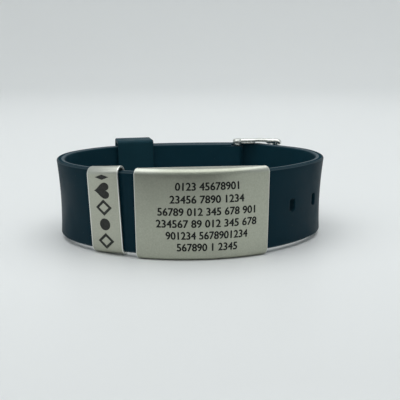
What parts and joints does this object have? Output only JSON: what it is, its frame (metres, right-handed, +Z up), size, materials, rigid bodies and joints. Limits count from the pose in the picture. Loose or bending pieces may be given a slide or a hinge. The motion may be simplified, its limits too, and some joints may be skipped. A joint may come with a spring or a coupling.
{
  "type": "identity bracelet",
  "caption": "Buckled identity bracelet: moulded strap with adjustment holes, curved steel plate, sleeve charm, keeper loop and pin buckle.",
  "frame": {"origin": "middle of the footprint, on the surface that the bracelet stands on", "axes": "+Z up, along the way that the wrist goes in; the plate faces -Y, the buckle and the tail are at the back, +Y; +X is the side with the holes"},
  "size_m": [0.0722, 0.0554, 0.0229],
  "materials": {
    "strap": "matt dark blue-black silicone, moulded, with softly shining edges",
    "plate": "satin stainless steel with dark engraving",
    "charm": "satin stainless steel, bent sheet with dark engraving",
    "buckle": "polished stainless steel with fine wear"
  },
  "bodies": {
    "root": {"strap": "strap", "id_plate": "plate", "charm": "charm", "keeper": "strap", "buckle_frame": "buckle", "buckle_tongue": "buckle", "spring_bar": "buckle"}
  },
  "joints": []
}
